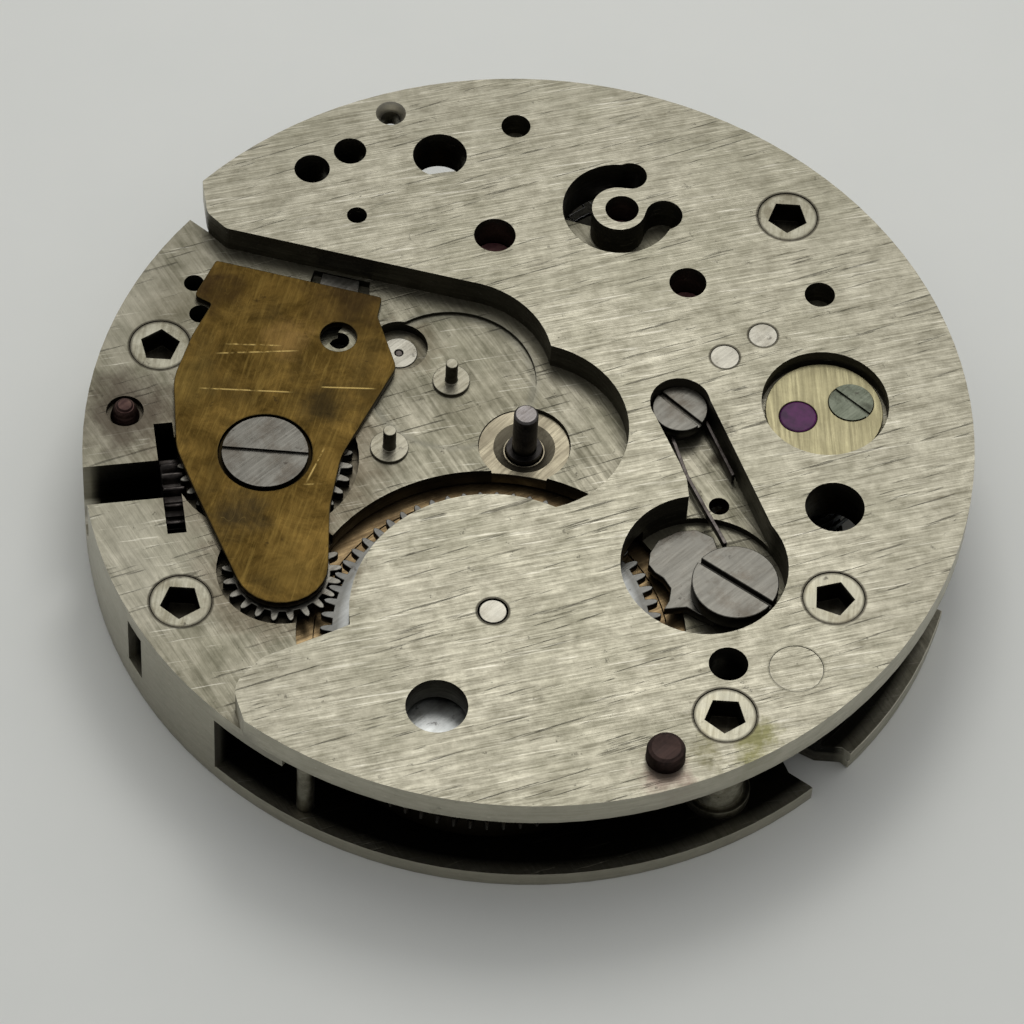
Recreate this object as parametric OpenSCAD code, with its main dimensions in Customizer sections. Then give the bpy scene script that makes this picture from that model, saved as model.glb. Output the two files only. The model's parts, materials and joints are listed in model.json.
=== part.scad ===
// Mechanical watch movement seen from its dial side, without stem, hour work, dial and hands.
// Millimetres. Origin at the centre of the main plate, on the outer face of the back plate.
// +Z points to the dial side, +X to the winding stem, -Y to the fourth wheel.

/* [Plates] */
// Diameter of the main plate, with which the whole movement scales
plate_d = 26; // [18:0.5:40]
// Thickness of the back plate
back_t = 0.53; // [0.48:0.01:0.56]
// Height between the back plate and the underside of the main plate
train_space = 2.47; // [2.45:0.01:2.7]
// Thickness of the main plate under the recess
floor_t = 0.58; // [0.56:0.01:0.7]
// Depth of the recess on the dial side
recess_depth = 0.95; // [0.9:0.01:1.1]
// Thickness of the rim flange
flange_t = 0.865; // [0.8:0.005:0.87]

/* [Going train] */
// Teeth of the barrel
barrel_teeth = 80; // [72:1:88]
// Teeth of the centre wheel
centre_teeth = 80; // [72:1:88]
// Teeth of the third wheel
third_teeth = 75; // [68:1:82]
// Teeth of the fourth wheel
fourth_teeth = 70; // [63:1:77]
// Leaves of the centre, third and fourth pinions
pinion_leaves = 10; // [8:1:12]
// Leaves of the escape pinion
escape_leaves = 7; // [6:1:8]
// Thickness of the train wheels
wheel_t = 0.17; // [0.12:0.01:0.18]

/* [Escapement] */
// Teeth of the escape wheel
escape_teeth = 15; // [12:1:18]
// Diameter of the balance
balance_d = 8.9; // [8:0.1:9]
// Turns of the hairspring
hairspring_turns = 8; // [5:1:9]

/* [Winding] */
// Teeth of the ratchet wheel
ratchet_teeth = 63; // [57:1:69]
// Thickness of the winding wheels
winding_t = 0.28; // [0.2:0.01:0.3]
// Turns of the mainspring
mainspring_turns = 11; // [6:1:13]

/* [Fits] */
// Radius of the train pivots
pivot_r = 0.1; // [0.07:0.005:0.12]
// Radial clearance of a pivot in its hole
pivot_play = 0.03; // [0.01:0.005:0.04]
// Radial gap of a pressed or screwed seat
seat_gap = 0.01; // [0.005:0.005:0.02]
// Width of the screw slots
slot_w = 0.16; // [0.1:0.01:0.25]

/* [Hidden] */
$fn = 72;
scale_factor = plate_d / 26;

// Levels
z_ceiling = back_t + train_space;
z_floor = z_ceiling + floor_t;
z_top = z_floor + recess_depth;
z_flange = z_top - flange_t;
z_pocket = z_ceiling + 0.18;
z_winding = z_pocket + 0.04;
cover_t = 0.25;
cover_ledge = 0.08;
cover_sink_r = 1.37;

// Radii of the plates, each a step inside the dial side's flange
flange_r = 13;
back_step = 0.25;
block_step = 0.2;
inner_step = 1.1;
back_r = flange_r - back_step;
block_r = flange_r - block_step;
inner_r = flange_r - inner_step;
beyond = 1.6 * flange_r;

// Centres of the train, the winding wheels and the escapement
centre_at = [0, 0];
barrel_at = [1.84, 6.32];
third_at = [3.14, -4.03];
fourth_at = [-0.09, -7.02];
escape_at = [-3.99, -7.57];
pallet_at = [-5.5, -4.61];
balance_at = [-7.98, 0.31];
crown_at = [7.52, -0.42];

// Winding wheels, of one module
winding_m = 2 * 4.725 / ratchet_teeth;
ratchet_r = 4.725;
intermediate_r = 1.575;
crown_r = 2.4;
winding_pinion_r = 1.275;
intermediate_teeth = round(2 * intermediate_r / winding_m);
crown_teeth = round(2 * crown_r / winding_m);
winding_leaves = round(2 * winding_pinion_r / winding_m);
intermediate_at = crossing(barrel_at, ratchet_r + intermediate_r, crown_at, crown_r + intermediate_r);
tooth_tip = 0.15;
tooth_root = 0.185;
z_stem = z_winding + 0.255 - winding_pinion_r - tooth_tip;
stem_tip_r = 0.3;
stem_slot_w = 1.34;

// Posts and studs
minute_post_at = [1.79, -2.58];
setting_post_at = [3.91, -0.33];
post_shank_r = 0.45;
arbor_end_r = 0.36;
arbor_collar_r = 0.52;
third_bush_r = 0.54;
low_studs = [[10.11, -4.81, 259], [10.48, 4.31, 79]];
high_studs = [[-8.85, -6.73, 79], [-4.11, 10.55, 79]];
cock_stud_at = [-7.82, 7.0, 169];
stud_head_r = 0.88;
stud_head_h = 0.5;
stud_shank_r = 0.66;
socket_r = 0.6;
socket_depth = 0.8;
stud_thread_r = 0.3;
minute_pin_r = 0.18;
minute_pin_h = 0.8;
setting_pin_r = 0.19;
setting_pin_h = 0.88;
post_foot_h = 0.12;
banking_at = [[-6.14, -1.79], [-7.38, -2.44]];
banking_r = 0.2;
banking_head_r = 0.42;
banking_head_h = 0.35;
steady_at = [[7.54, 9.6], [-7.1, -9.9]];
steady_r = 0.25;

// Screws from the back, sunk in the back plate and the cock
back_head_r = 0.6;
back_head_h = 0.22;
back_sink_r = back_head_r + 0.05;
back_sink_h = back_head_h + 0.03;

clamp_slot_w = 0.8;
clamp_slot_depth = 0.9;

// Parts on the dial side
cap_at = [-8.77, 0.21];
cap_screw_at = [-9.6, 0];
cap_r = 1.72;
cap_sink_r = cap_r + 0.14;
cap_jewel_r = 0.55;
cap_screw_r = 0.3;
cap_screw_head_r = 0.65;
z_cap = z_top - 0.65;
cap_t = 0.25;
click_at = [-5.22, 5.81];
click_bay_at = [-4.36, 5.43];
click_spring_at = [-4.61, -0.37];
click_screw_r = 0.35;
click_shoulder_r = 0.55;
z_click_bay = z_ceiling + 0.42;
yoke_at = [7.9, -5.0];
foot_screw_at = [11.37, -2.54];
foot_screw_r = 0.3;
cover_screw_r = 0.45;
locating_stud_at = [-2.23, 11.73];
locating_stud_r = 0.55;
plug_at = [-6.35, 9.25];
plug_r = 0.77;
plug_h = 0.6;
barrel_bay_r = 5.56;
crown_boss_r = 1.05;
intermediate_boss_r = 0.5;
yoke_boss_r = 0.42;
boss_play = 0.04;

// Bushes, jewels and the arbors that they carry
centre_bush_r = 1.34;
fourth_jewel_r = 0.61;
escape_jewel_r = 0.49;
pallet_jewel_r = 0.54;
back_jewel_r = 0.5;
back_centre_bush_r = 0.8;
back_third_bush_r = 0.6;
balance_jewel_r = 0.49;
cock_jewel_r = 0.45;
centre_pivot_r = 0.25;
centre_shaft_r = 0.45;
third_shaft_r = 0.22;
fourth_shaft_r = 0.2;
escape_shaft_r = 0.16;
pallet_shaft_r = 0.13;
balance_shaft_r = 0.2;
balance_seat_r = 0.25;

// Balance, its bay, its regulator and the hairspring's stud
balance_bay_r = balance_d / 2 + 0.3;
regulator_boss_r = 0.88;
hairspring_stud_at = [-10.55, 0.3];
hairspring_stud_r = 0.14;

// Levels inside, from the back plate up
z_centre_wheel = back_t + 0.15;
z_third_pinion = back_t + 0.08;
third_pinion_h = 0.38;
z_drum = back_t + 0.52;
z_drum_top = z_ceiling - 0.1;
z_barrel_teeth = z_drum_top - 0.4;
z_balance = back_t + 0.62;
balance_h = 0.4;
z_fourth_wheel = back_t + 0.77;
z_roller = z_balance + 0.6;
z_fork = back_t + 1.49;
fork_t = 0.18;
z_third_wheel = back_t + 2.02;
z_hairspring = back_t + 0.22;
hairspring_h = 0.2;

// Geometry helpers

function polar(r, a) = [r * cos(a), r * sin(a)];

function bearing(p, q) = atan2(q[1] - p[1], q[0] - p[0]);

// Point at distance rp from p and rq from q, on the right of the way from p to q
function crossing(p, rp, q, rq) =
    let (d = norm(q - p), along = (rp * rp - rq * rq + d * d) / (2 * d))
    let (u = (q - p) / d, side = sqrt(rp * rp - along * along))
    p + along * u + side * [-u[1], u[0]];

// Rounded corner at c between p and q, with radius r
function corner(p, c, q, r) =
    r <= 0 ? [c] :
    let (u = (p - c) / norm(p - c), v = (q - c) / norm(q - c), half = acos(u * v) / 2)
    let (o = c + (u + v) / norm(u + v) * r / sin(half), reach = r / tan(half))
    let (a = bearing(o, c + u * reach), swing = bearing(o, c + v * reach) - a)
    let (turn = swing > 180 ? swing - 360 : swing < -180 ? swing + 360 : swing)
    [for (i = [0:6]) o + polar(r, a + turn * i / 6)];

// Outline through points [x, y, corner radius]
function rounded(pts) =
    let (n = len(pts), xy = [for (p = pts) [p[0], p[1]]])
    [for (i = [0:n - 1]) each corner(xy[(i + n - 1) % n], xy[i], xy[(i + 1) % n], pts[i][2])];

// Toothed outline: one tooth is a list of [radius, offset in tooth pitches]
function toothed(n, phase, tooth) =
    [for (i = [0:n - 1], p = tooth) polar(p[0], phase + (i + p[1]) * 360 / n)];

function wheel_tooth(r, tip, root) =
    [[r - root, -0.27], [r, -0.21], [r + tip * 0.6, -0.15], [r + tip, -0.05],
     [r + tip, 0.05], [r + tip * 0.6, 0.15], [r, 0.21], [r - root, 0.27]];

function leaf_tooth(r, tip, root) =
    [[r - root, -0.2], [r, -0.17], [r + tip, -0.07],
     [r + tip, 0.07], [r, 0.17], [r - root, 0.2]];

// Phase of wheel b that puts it in mesh with wheel a, whose phase is known
function mesh(at_a, phase_a, n_a, at_b, n_b) =
    let (line = bearing(at_a, at_b), passed = (line - phase_a) * n_a / 360)
    line + 180 - 360 / n_b * (0.5 - passed);

// Share of the distance between two centres that a wheel's pitch radius takes
function pitch_r(p, q, own, other) = norm(q - p) * own / (own + other);

// Strip along a flat spiral
function spiral(r0, r1, turns, w, steps) =
    let (n = turns * steps)
    concat(
        [for (i = [0:n]) polar(r0 + (r1 - r0) * i / n + w / 2, i * 360 / steps)],
        [for (i = [n:-1:0]) polar(r0 + (r1 - r0) * i / n - w / 2, i * 360 / steps)]);

// Strip along a line of points
function strip(pts, w) =
    let (n = len(pts) - 1)
    let (dir = [for (i = [0:n]) pts[min(i + 1, n)] - pts[max(i - 1, 0)]])
    let (side = [for (d = dir) [-d[1], d[0]] / norm(d) * w / 2])
    concat([for (i = [0:n]) pts[i] + side[i]], [for (i = [n:-1:0]) pts[i] - side[i]]);

module rod(at, r, z0, z1) {
    translate([at[0], at[1], z0])
        cylinder(r = r, h = z1 - z0);
}

module ring(at, ro, ri, z0, z1) {
    difference() {
        rod(at, ro, z0, z1);
        rod(at, ri, z0 - 1, z1 + 1);
    }
}

module slab(z0, z1) {
    translate([0, 0, z0])
        for (i = [0:$children - 1])
            linear_extrude(height = z1 - z0)
                children(i);
}

module disc2d(at, r) {
    translate([at[0], at[1]])
        circle(r = r);
}

// Wheel with spokes, in plan
module crossed_wheel(at, n, phase, r, tip, root, rim, hub, bore, arms, arm_w) {
    translate([at[0], at[1]])
        difference() {
            union() {
                difference() {
                    polygon(toothed(n, phase, wheel_tooth(r, tip, root)));
                    circle(r = r - root - rim);
                }
                circle(r = hub);
                for (i = [0:arms - 1])
                    rotate(i * 360 / arms)
                        translate([0, -arm_w / 2])
                            square([r - root - rim / 2, arm_w]);
            }
            circle(r = bore);
        }
}

// Pinion with its arbor and two pivots, standing between the plates
module pinion(at, n, phase, r, z0, z1, arbor_r, z_low, z_high) {
    m = 2 * r / n;
    slab(z0, z1)
        translate(at)
            polygon(toothed(n, phase, leaf_tooth(r, 0.75 * m, 1.45 * m)));
    rod(at, arbor_r, back_t + 0.04, z_ceiling - 0.04);
    rod(at, pivot_r, z_low, z_high);
}

module slotted_screw(at, angle, head_r, z_head, head_h, shank_r, z_end, up = true) {
    z_face = up ? z_head + head_h : z_head;
    slot_depth = head_h * 0.45;
    difference() {
        union() {
            rod(at, head_r, z_head, z_head + head_h);
            rod(at, shank_r, min(z_end, z_head + head_h), max(z_end, z_head));
        }
        translate([at[0], at[1], z_face])
            rotate(angle)
                translate([-head_r - 1, -slot_w / 2, -slot_depth])
                    cube([2 * head_r + 2, slot_w, 2 * slot_depth]);
    }
}

// Pitch radii and phases of the going train
barrel_pitch = pitch_r(barrel_at, centre_at, barrel_teeth, pinion_leaves);
centre_leaf_r = pitch_r(barrel_at, centre_at, pinion_leaves, barrel_teeth);
centre_pitch = pitch_r(centre_at, third_at, centre_teeth, pinion_leaves);
third_leaf_r = pitch_r(centre_at, third_at, pinion_leaves, centre_teeth);
third_pitch = pitch_r(third_at, fourth_at, third_teeth, pinion_leaves);
fourth_leaf_r = pitch_r(third_at, fourth_at, pinion_leaves, third_teeth);
fourth_pitch = pitch_r(fourth_at, escape_at, fourth_teeth, escape_leaves);
escape_leaf_r = pitch_r(fourth_at, escape_at, escape_leaves, fourth_teeth);
centre_leaf_phase = mesh(barrel_at, 0, barrel_teeth, centre_at, pinion_leaves);
third_leaf_phase = mesh(centre_at, 0, centre_teeth, third_at, pinion_leaves);
fourth_leaf_phase = mesh(third_at, 0, third_teeth, fourth_at, pinion_leaves);
escape_leaf_phase = mesh(fourth_at, 0, fourth_teeth, escape_at, escape_leaves);

// Phases of the winding wheels. A tooth gap of the ratchet wheel faces the click's beak
click_beak = [-2.93, 4.56];
ratchet_phase = bearing(barrel_at, click_beak) + 180 / ratchet_teeth;
intermediate_phase = mesh(barrel_at, ratchet_phase, ratchet_teeth, intermediate_at, intermediate_teeth);
crown_phase = mesh(intermediate_at, intermediate_phase, intermediate_teeth, crown_at, crown_teeth);
crown_side = asin(-crown_at[1] / crown_r);
winding_phase = 90 + (crown_side - crown_phase) * crown_teeth / winding_leaves
    + 180 / winding_leaves;

// Barrel
drum_r = 5.3;
drum_wall = 0.22;
lid_seat_h = 0.22;
barrel_m = 2 * barrel_pitch / barrel_teeth;
core_r = 0.9;
square_w = 1.0;
arbor_shaft_r = 0.62;
arbor_pivot_r = 0.39;
arbor_play = 0.05;

// Escapement
pallet_reach = 0.83;
pallet_span = 1.43;
escape_r = norm(escape_at - (pallet_at
    + polar(pallet_reach, bearing(pallet_at, escape_at))
    + polar(pallet_span, bearing(pallet_at, escape_at) + 90))) - 0.03;
impulse_r = 0.62;
fork_l = norm(balance_at - pallet_at) - impulse_r;
lever_w = 0.4;
pin_slot_w = 0.28;
impulse_pin_r = 0.1;
balance_rest = bearing(balance_at, pallet_at) + 35;

// Outlines

// Recess for the winding and hour work, open to the rim on the stem side
module recess_2d() {
    difference() {
        union() {
            polygon(rounded([
                [8.26, -beyond, 0], [8.27, -8.84, 0.5], [7.78, -8.18, 0.4], [0.79, -5.35, 0],
                [1.79, -2.58, 0], [0, 0, 0], [1.84, 6.32, 0], [5.9, 6.3, 0],
                [6.4, 6.47, 0.2], [8.5, 7.12, 0.7], [9.42, 7.95, 0.8], [9.2, 9.3, 1.0],
                [8.0, 10.9, 0], [beyond, beyond, 0], [beyond, -beyond, 0]]));
            disc2d(minute_post_at, 2.95);
            disc2d(centre_at, 3.0);
        }
        disc2d(barrel_at, 4.06);
    }
}

// Sector of a disc round the origin
module sector_2d(r, from, to) {
    intersection() {
        circle(r = r);
        polygon([[0, 0], polar(2 * r, from), polar(2 * r, (from + to) / 2), polar(2 * r, to)]);
    }
}

// Thick part of the main plate on the stem side, clear of the wheels
module block_2d() {
    difference() {
        sector_2d(block_r, -47, 39);
        disc2d(centre_at, 4.8);
        disc2d(third_at, 4.1);
        disc2d(barrel_at, 6.25);
    }
}

// Crescent slot round the escape wheel's boss
module crescent_2d(from, to) {
    boss = [-3.9, -7.6];
    difference() {
        disc2d(boss, 1.68);
        disc2d(boss, 0.8);
        polygon(concat([boss], [for (i = [0:4]) boss + polar(4, to + (360 + from - to) * i / 4)]));
    }
}

module click_channel_2d() {
    polygon([[-5.46, -0.3], [-6.62, 4.9], [-4.2, 4.9], [-4.33, 2.42], [-4.22, 1.84], [-3.74, -0.08]]);
    disc2d([-4.58, -0.3], 0.88);
}

module cover_2d() {
    difference() {
        polygon(rounded([
            [8.15, -7.57, 0.1], [3.45, -5.64, 0.1], [3.66, -4.95, 0.2], [3.35, -3.05, 0.5],
            [5.35, -0.05, 2], [5.9, 1.7, 3], [6.35, 4.87, 1.33], [8.56, 4.87, 1.33],
            [9.69, 0.61, 2], [10.05, -0.9, 2], [9.86, -3.4, 2], [9.15, -4.9, 0.6],
            [8.45, -5.98, 0.1], [8.93, -6.35, 0.15]]));
        disc2d([4.9, -4.34], 0.54);
        disc2d(crown_at, cover_screw_r + 0.05);
    }
}

// Bay of the balance and its cock in the back plate
module cock_bay_2d() {
    disc2d(balance_at, balance_bay_r);
    polygon([[-6.1, 9.4], [-6.29, 10.15], [-6.82, 10.66], [-8.6, 13], [-8.6, beyond],
        [-beyond, beyond], [-beyond, -9.4],
        [-11.2, -7.9], [-10.44, -7.31], [-9.95, -5.5], [-8.9, -4.3], balance_at, [-6.1, 4.6]]);
}

module cock_foot_2d(r) {
    intersection() {
        circle(r = r);
        polygon([polar(20, 129.5), [-7.9, 9.65], [-7.17, 9.5], [-6.5, 9.0], [-6.5, 3.6],
            [-9.2, 3.6], polar(20, 151.6)]);
    }
}

module cock_arm_2d() {
    disc2d(balance_at, 1.7);
    polygon([[-9.3, 0.9], [-9.4, 6.5], [-6.5, 6.5], [-6.65, 0.9]]);
    polygon([[-7.98, 0.6], [-10.9, 0.6], [-10.9, 0], [-7.98, 0]]);
}

// Plates and bridges

module main_plate() {
    color([0.72, 0.7, 0.64])
    difference() {
        union() {
            difference() {
                union() {
                    rod(centre_at, flange_r, z_flange, z_top);
                    rod(centre_at, inner_r, z_ceiling, z_flange);
                    slab(back_t, z_flange)
                        block_2d();
                    slab(z_ceiling, z_flange)
                        sector_2d(block_r, -47, 50);
                }
                slab(z_floor, z_top + 1)
                    recess_2d();
                rod(barrel_at, barrel_bay_r, z_ceiling - 1, z_flange);
                rod(crown_at, crown_r + 0.32, z_pocket, z_top);
                rod(intermediate_at, intermediate_r + 0.3, z_pocket, z_flange);
                yoke_pocket();
                rod(minute_post_at, 2.5, z_floor - post_foot_h, z_top);
            }
            rod(crown_at, crown_boss_r, z_pocket - 0.05, z_floor);
            rod(intermediate_at, intermediate_boss_r, z_pocket - 0.05, z_floor);
            rod(yoke_at, yoke_boss_r, z_pocket - 0.05, z_floor);
        }
        keyless_cuts();
        dial_side_holes();
        escape_slot();
        click_bay();
        bearing_seats();
        stud_seats();
        clamp_slot();
    }
}

module yoke_pocket() {
    slab(z_pocket, z_top) {
        disc2d(yoke_at, 0.95);
        polygon([[7.1, -4.6], [8.0, -3.0], [9.5, -3.0], [9.5, -3.9], [8.7, -5.2]]);
    }
    slab(z_pocket + 0.12, z_floor + 0.01)
        polygon([[3.78, -5.9], [3.7, -6.42], [5.28, -7.06], [5.48, -6.6], [6.3, -4.9], [7.2, -4.2],
            [8.3, -4.1], [8.3, -3.0], [6.9, -3.1], [5.2, -4.3]]);
}

// Stem slot, pinion bays and the bore of the stem's tip
module keyless_cuts() {
    translate([0, 0, z_stem])
        rotate([0, 90, 0]) {
            translate([0, 0, 7.1])
                cylinder(r = stem_tip_r, h = 3);
            translate([0, 0, 8.1])
                cylinder(r = 1.08, h = 1.8);
            translate([0, 0, 9.9])
                cylinder(r = stem_slot_w / 2, h = flange_r);
        }
    translate([10.3, -stem_slot_w / 2, z_stem])
        cube([flange_r, stem_slot_w, z_top]);
    translate([9.88, -1.98, back_t - 1])
        cube([0.72, 3.93, z_pocket + 0.12 - back_t + 1]);
    translate([10.05, -1.98, back_t])
        cube([0.55, 3.93, 4]);
    translate([8.42, -3.6, z_stem - 0.3])
        cube([0.95, 3.1, z_pocket - z_stem + 0.35]);
    rod(crown_at, cover_screw_r + seat_gap, z_stem + 0.5, z_top);
}

module dial_side_holes() {
    for (h = [[4.98, -10.13, 0.53], [3.77, -10.68, 0.49], [2.37, -11.99, 0.3], [1.12, -10.22, 0.81],
              [3.87, -8.23, 0.3], [-8.4, 3.89, 0.86], [-4.48, 8.87, 0.56], [3.84, 9.31, 0.88],
              [4.87, -4.37, 0.3]])
        rod(h, h[2], z_ceiling - 1, z_top + 1);
    for (h = [[-1.3, -11.07, 0.44], [-9.3, -3.73, 0.45]])
        rod(h, h[2], z_flange, z_top + 1);
    translate([2.37, -11.99, z_top - 0.3])
        cylinder(r1 = 0.3, r2 = 0.46, h = 0.31);
    rod([8.87, -6.98], 0.3, z_floor - 1, z_top);
    rod([8.82, -5.82], 0.32, z_floor - 0.8, z_top);
    rod(foot_screw_at, foot_screw_r + seat_gap, z_floor - 1.4, z_top);
    rod(foot_screw_at, 0.55, z_floor - 0.25, z_top);
    rod(locating_stud_at, locating_stud_r + seat_gap, z_flange - 1, z_top + 1);
    rod(plug_at, plug_r + seat_gap, z_top - plug_h, z_top + 1);
    for (p = banking_at) {
        rod(p, banking_r + seat_gap, z_ceiling - 1, z_top);
        rod(p, banking_head_r + seat_gap, z_top - banking_head_h, z_top + 1);
    }
    for (p = [minute_post_at, setting_post_at])
        rod(p, post_shank_r + seat_gap, z_ceiling + 0.05, z_top);
    for (p = steady_at)
        rod(p, steady_r + seat_gap, z_ceiling - 1, z_ceiling + 0.5);
}

module escape_slot() {
    slab(z_ceiling + 0.35, z_top + 1) {
        crescent_2d(-114, 163);
        disc2d([-4.44, -8.79], 0.49);
        disc2d([-5.2, -7.2], 0.55);
    }
    slab(z_ceiling - 1, z_top) {
        crescent_2d(-114, -25);
        disc2d([-4.44, -8.79], 0.49);
    }
}

module click_bay() {
    slab(z_pocket, z_top + 1)
        disc2d(click_bay_at, 2.4);
    slab(z_click_bay, z_top + 1)
        click_channel_2d();
    rod([-5.3, 2.71], 0.3, z_ceiling - 1, z_top);
    rod(click_at, click_screw_r + seat_gap, z_ceiling + 0.02, z_top);
    rod(click_spring_at, click_screw_r + seat_gap, z_ceiling + 0.05, z_top);
}

module bearing_seats() {
    difference() {
        rod(centre_at, centre_bush_r + seat_gap, z_ceiling - 1, z_top);
        rod(barrel_at, 4.06, z_flange, z_top + 1);
    }
    rod(third_at, 0.85, z_ceiling + 0.14, z_top);
    rod(third_at, third_bush_r + seat_gap, z_ceiling - 1, z_top);
    rod(fourth_at, fourth_jewel_r + seat_gap, z_ceiling - 1, z_top + 1);
    rod(escape_at, escape_jewel_r + seat_gap, z_ceiling - 1, z_top + 1);
    rod(pallet_at, pallet_jewel_r + seat_gap, z_ceiling - 1, z_top + 1);
    rod(barrel_at, arbor_pivot_r + arbor_play, z_flange - 1, z_top + 1);
    rod(cap_at, cap_sink_r, z_cap, z_top + 1);
    rod(balance_at, balance_jewel_r + seat_gap, z_ceiling + 0.4, z_top);
    rod(balance_at, 0.35, z_ceiling - 1, z_top);
    rod(cap_screw_at, cap_screw_r + seat_gap, z_ceiling + 0.15, z_top);
}

module stud_seats() {
    for (p = low_studs) {
        rod(p, stud_head_r + 0.02, z_floor - stud_head_h - 0.02, z_top);
        rod(p, stud_shank_r + seat_gap, back_t - 1, z_floor);
    }
    for (p = concat(high_studs, [cock_stud_at])) {
        rod(p, stud_head_r + 0.02, z_top - stud_head_h - 0.04, z_top + 1);
        rod(p, stud_shank_r + seat_gap, back_t - 1, z_top);
    }
}

// Narrow slot for a case clamp in the block's outer wall
module clamp_slot() {
    rotate(22)
        translate([block_r - clamp_slot_depth, -clamp_slot_w / 2, back_t + 0.6])
            cube([2 * clamp_slot_depth, clamp_slot_w, 1.9]);
}

module back_plate() {
    color([0.7, 0.68, 0.62])
    difference() {
        rod(centre_at, back_r, 0, back_t);
        slab(-1, back_t + 1)
            cock_bay_2d();
        for (p = concat(low_studs, high_studs)) {
            rod(p, back_sink_r, -1, back_sink_h);
            rod(p, stud_thread_r, -1, back_t + 1);
        }
        rod(barrel_at, arbor_pivot_r + arbor_play, -1, back_t + 1);
        rod(centre_at, back_centre_bush_r + seat_gap, -1, back_t + 1);
        rod(third_at, back_third_bush_r + seat_gap, -1, back_t + 1);
        for (p = [fourth_at, escape_at, pallet_at])
            rod(p, back_jewel_r + seat_gap, -1, back_t + 1);
        for (p = steady_at)
            rod(p, steady_r + seat_gap, -1, back_t + 1);
    }
}

// Cock of the balance: thin arm below the balance and a foot that reaches the main plate
module balance_cock() {
    color([0.72, 0.7, 0.65])
    difference() {
        union() {
            slab(0, back_t) {
                cock_arm_2d();
                cock_foot_2d(back_r);
            }
            slab(back_t - 0.1, back_t + 0.25)
                difference() {
                    cock_foot_2d(block_r);
                    disc2d(balance_at, balance_bay_r);
                }
            slab(back_t, z_ceiling)
                difference() {
                    cock_foot_2d(12);
                    disc2d(balance_at, balance_bay_r);
                }
        }
        ring(centre_at, back_r + 1, block_r - 0.15, 0.33, 0.37);
        ring(balance_at, 3.7, regulator_boss_r, -1, 0.22);
        rod(balance_at, cock_jewel_r + seat_gap, -1, back_t + 1);
        rod(cock_stud_at, back_sink_r, -1, back_sink_h);
        rod(cock_stud_at, stud_thread_r, -1, z_ceiling + 1);
        rod(cock_stud_at, stud_shank_r + seat_gap, z_ceiling - 0.8, z_ceiling + 1);
        rod(hairspring_stud_at, hairspring_stud_r + seat_gap, -1, back_t + 1);
    }
}

// Fasteners and small fixed parts

// Plate studs with a five-sided socket in the head and a thread for the screw from the back
module plate_studs() {
    color([0.66, 0.64, 0.58]) {
        for (p = low_studs)
            stud(p, z_floor - 0.01, back_t);
        for (p = high_studs) {
            stud(p, z_top - 0.02, back_t);
            ring(p, 0.95, stud_shank_r - 0.1, back_t, back_t + 0.35);
            ring(p, 0.75, stud_shank_r - 0.1, back_t, z_ceiling);
        }
        stud(cock_stud_at, z_top - 0.02, z_ceiling - 0.8);
    }
}

module stud(p, z_head_top, z_end) {
    difference() {
        union() {
            rod(p, stud_head_r, z_head_top - stud_head_h, z_head_top);
            rod(p, stud_shank_r, z_end, z_head_top);
        }
        translate([p[0], p[1], z_head_top - socket_depth])
            rotate(p[2])
                cylinder(r = socket_r, h = 2 * socket_depth, $fn = 5);
        rod(p, stud_thread_r, z_end - 1, z_end + 1.0);
    }
}

module back_screws() {
    color([0.55, 0.56, 0.6])
    for (i = [0:3])
        slotted_screw(concat(low_studs, high_studs)[i], 35 + 50 * i, back_head_r, 0.02, back_head_h,
            stud_thread_r - seat_gap, back_t + 0.9, up = false);
}

module cock_screw() {
    color([0.55, 0.56, 0.6])
        slotted_screw(cock_stud_at, 70, back_head_r, 0.02, back_head_h, stud_thread_r - seat_gap,
            z_ceiling + 0.1, up = false);
}

module steady_pins() {
    color([0.75, 0.74, 0.7])
    for (p = steady_at)
        rod(p, steady_r, 0.02, z_ceiling + 0.49);
}

module keyless_cover() {
    color([0.48, 0.4, 0.22])
    difference() {
        slab(z_floor, z_floor + cover_t)
            cover_2d();
        rod(crown_at, cover_sink_r, z_floor + cover_ledge, z_top);
    }
}

module cover_screw() {
    color([0.55, 0.54, 0.55])
        slotted_screw(crown_at, 168, cover_sink_r - 0.12, z_floor + cover_ledge, 0.21, cover_screw_r,
            z_stem + 0.55);
}

module yoke_spring() {
    color([0.6, 0.59, 0.56])
    slab(z_pocket + 0.14, z_floor - 0.02) {
        polygon([[5.2, -6.5], [5.04, -6.93], [4.0, -6.51], [4.1, -6.05], [5.0, -5.9]]);
        polygon(strip([[4.75, -6.1], [5.35, -5.0], [6.0, -4.3], [6.9, -3.8], [7.9, -3.62],
            [8.28, -3.62]], 0.14));
    }
}

module minute_post() {
    color([0.55, 0.54, 0.52]) {
        rod(minute_post_at, post_shank_r, z_ceiling + 0.06, z_floor - post_foot_h);
        rod(minute_post_at, 0.55, z_floor - post_foot_h, z_floor);
        rod(minute_post_at, minute_pin_r, z_floor, z_floor + minute_pin_h);
    }
}

module setting_post() {
    color([0.55, 0.54, 0.52]) {
        rod(setting_post_at, post_shank_r, z_ceiling + 0.06, z_floor);
        rod(setting_post_at, 0.56, z_floor, z_floor + 0.1);
        rod(setting_post_at, setting_pin_r, z_floor, z_floor + setting_pin_h);
    }
}

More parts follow.
